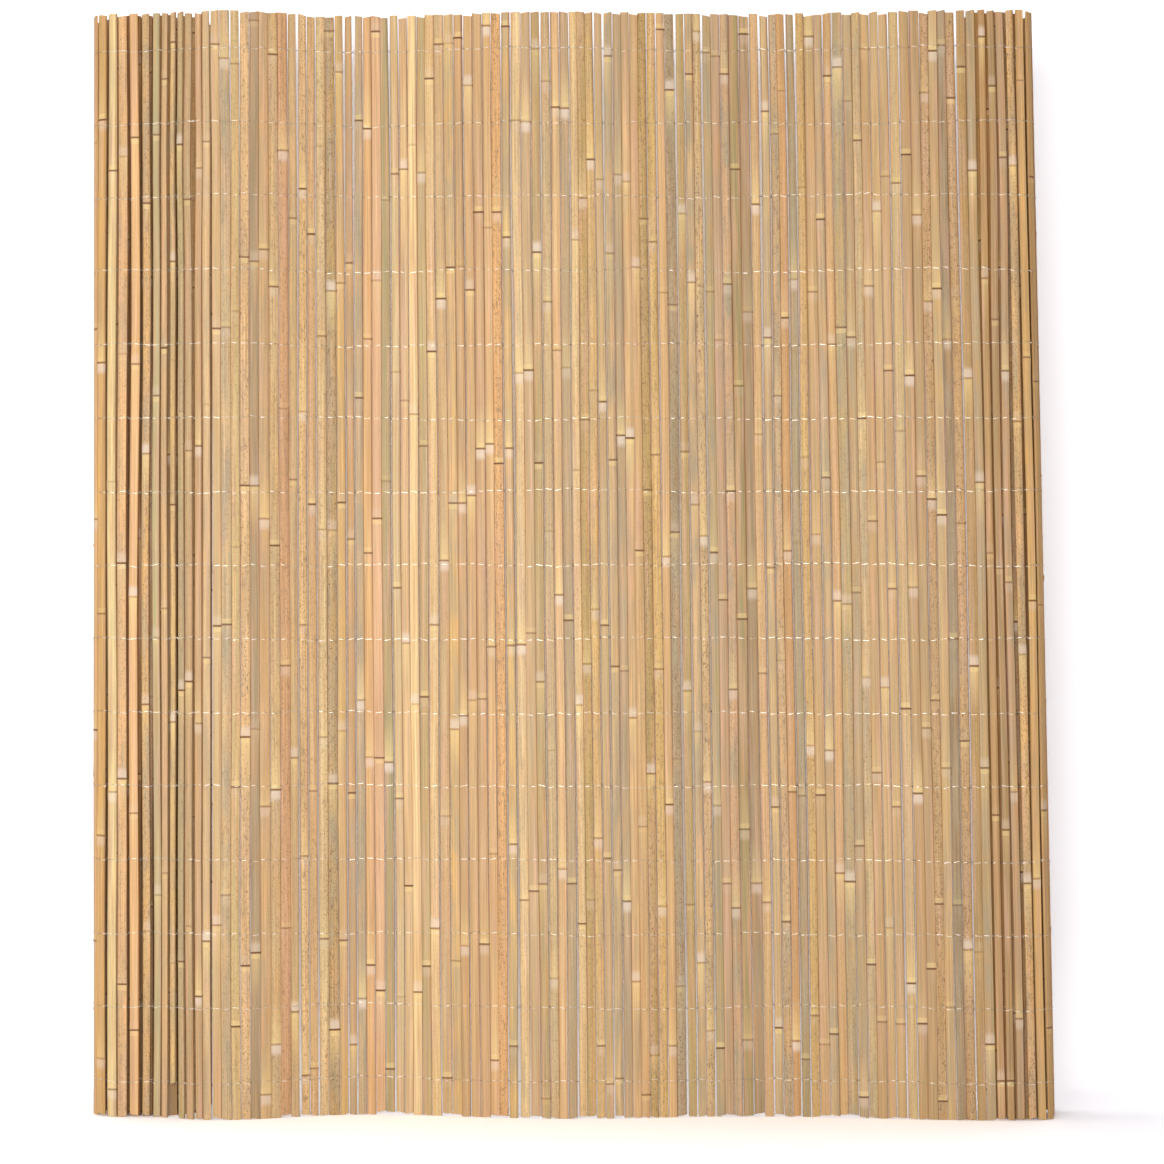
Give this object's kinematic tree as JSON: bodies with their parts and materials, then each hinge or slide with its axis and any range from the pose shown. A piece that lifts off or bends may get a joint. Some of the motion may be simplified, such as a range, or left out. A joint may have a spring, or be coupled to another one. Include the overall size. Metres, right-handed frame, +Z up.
{
  "type": "split-bamboo slat screening roll",
  "caption": "Partly unrolled roll of upright split-bamboo slats bound by rows of thin twisted galvanised wire, standing on its slat ends with both ends rolled up behind.",
  "frame": {"origin": "centre of the overall box on the floor that the slat ends stand on", "axes": "+Z up along the slats, +X to the right across the web, -Y out of the front of the web; the rolls lie behind it towards +Y"},
  "size_m": [1.3158, 0.1725, 1.5],
  "materials": {
    "bamboo": "satin",
    "galvanised_wire": "satin"
  },
  "bodies": {
    "root": {"left_roll_inner_slats": "bamboo", "left_roll_outer_slats": "bamboo", "web_left_slats": "bamboo", "web_middle_slats": "bamboo", "web_right_slats": "bamboo", "right_roll_slats": "bamboo", "wire_row_01": "galvanised_wire", "wire_row_02": "galvanised_wire", "wire_row_03": "galvanised_wire", "wire_row_04": "galvanised_wire", "wire_row_05": "galvanised_wire", "wire_row_06": "galvanised_wire", "wire_row_07": "galvanised_wire", "wire_row_08": "galvanised_wire", "wire_row_09": "galvanised_wire", "wire_row_10": "galvanised_wire", "wire_row_11": "galvanised_wire", "wire_row_12": "galvanised_wire", "wire_row_13": "galvanised_wire", "wire_row_14": "galvanised_wire", "wire_row_15": "galvanised_wire"}
  },
  "joints": []
}
